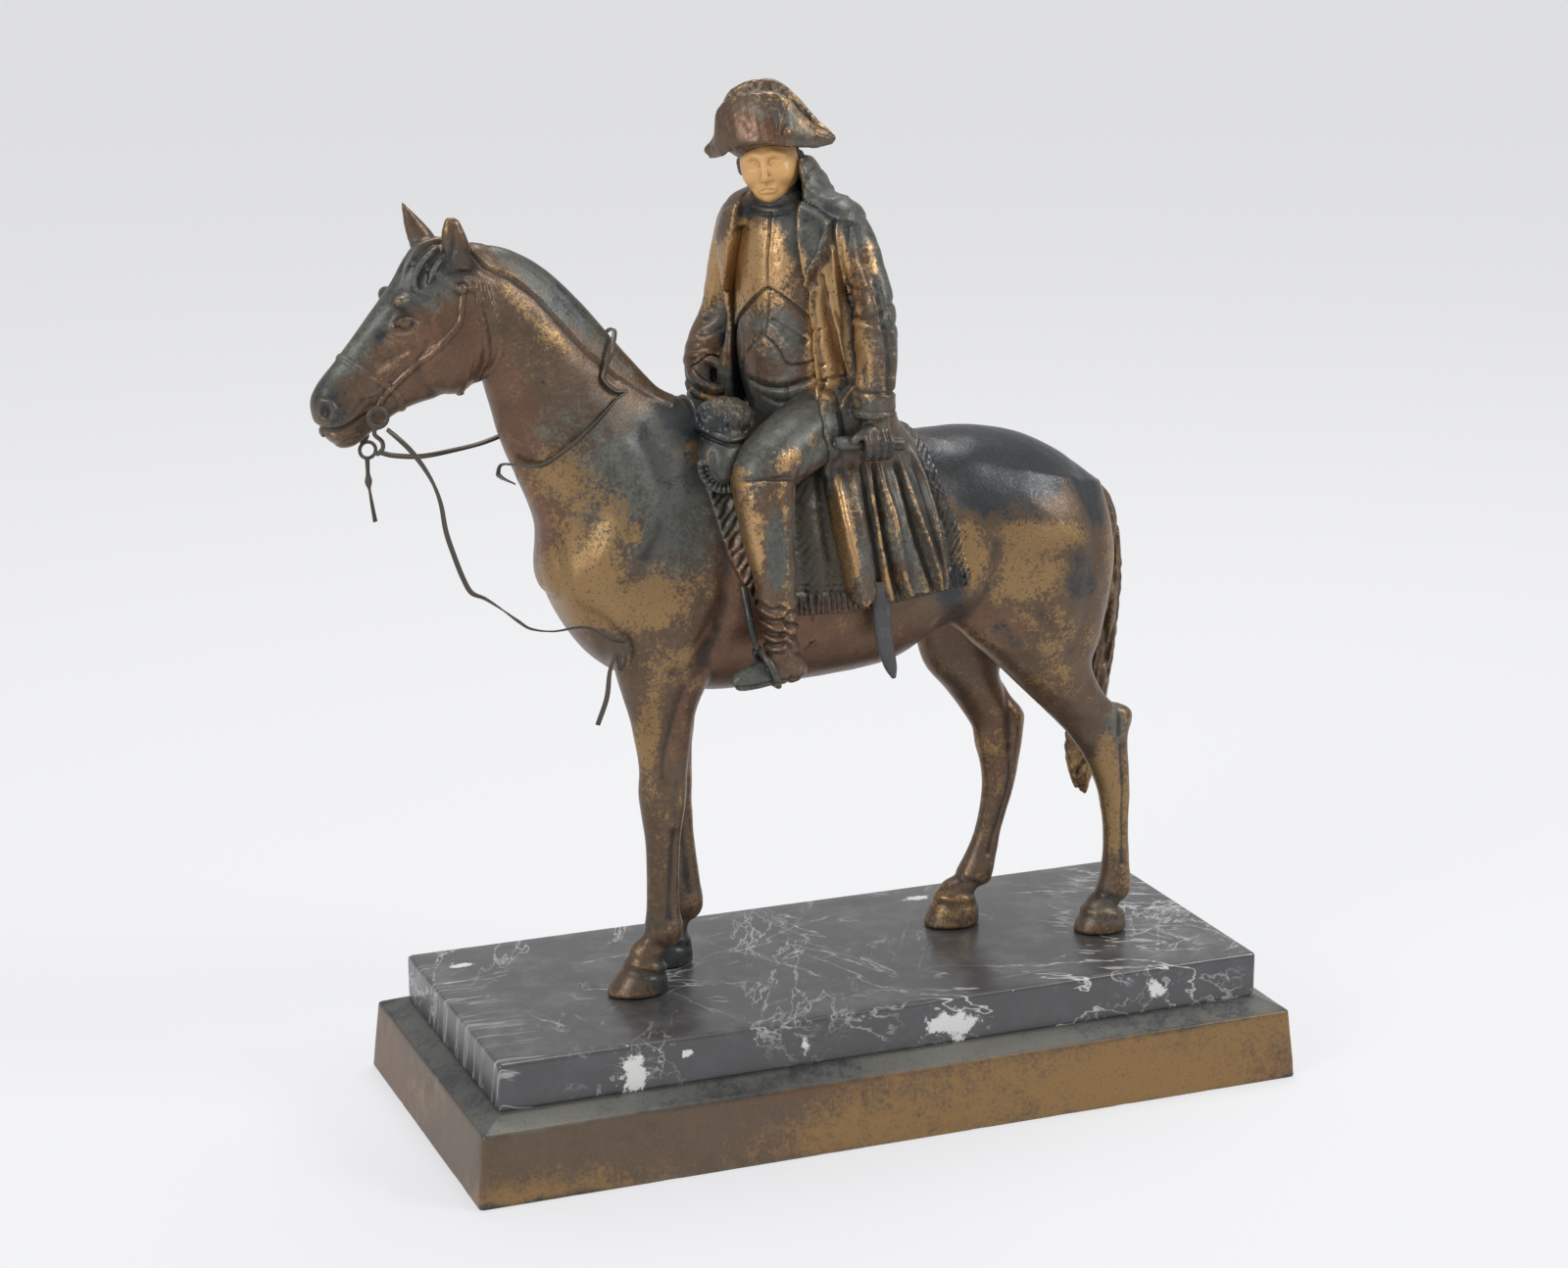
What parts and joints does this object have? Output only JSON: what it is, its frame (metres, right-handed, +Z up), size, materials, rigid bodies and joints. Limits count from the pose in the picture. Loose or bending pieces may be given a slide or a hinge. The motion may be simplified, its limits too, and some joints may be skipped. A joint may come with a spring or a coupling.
{
  "type": "equestrian statuette",
  "caption": "Standing bronze horse with a seated rider in bicorne hat and greatcoat, ivory-coloured face, on a marble slab and stepped bronze base.",
  "frame": {"origin": "middle of the base's underside", "axes": "+Z up, the horse faces -X, +Y is its right side, and the picture looks at its left side"},
  "size_m": [0.2743, 0.1116, 0.2906],
  "materials": {
    "base_bronze": "ochre-brown bronze, satin",
    "marble": "near-black marble with white veins, semi-polished",
    "horse_bronze": "patinated gilt bronze, worn",
    "rider_bronze": "patinated gilt bronze, worn",
    "face_ivory": "aged ivory colour, soft gloss",
    "bit_metal": "tarnished brass",
    "rein_strip": "dark grey-brown, dull"
  },
  "bodies": {
    "root": {"base": "base_bronze", "marble_slab": "marble", "horse": "horse_bronze", "rider": "rider_bronze", "face": "face_ivory", "bit_left": "bit_metal", "bit_right": "bit_metal", "curb_ring": "bit_metal", "rein_near": "rein_strip", "rein_far": "rein_strip", "rein_end": "rein_strip"}
  },
  "joints": []
}
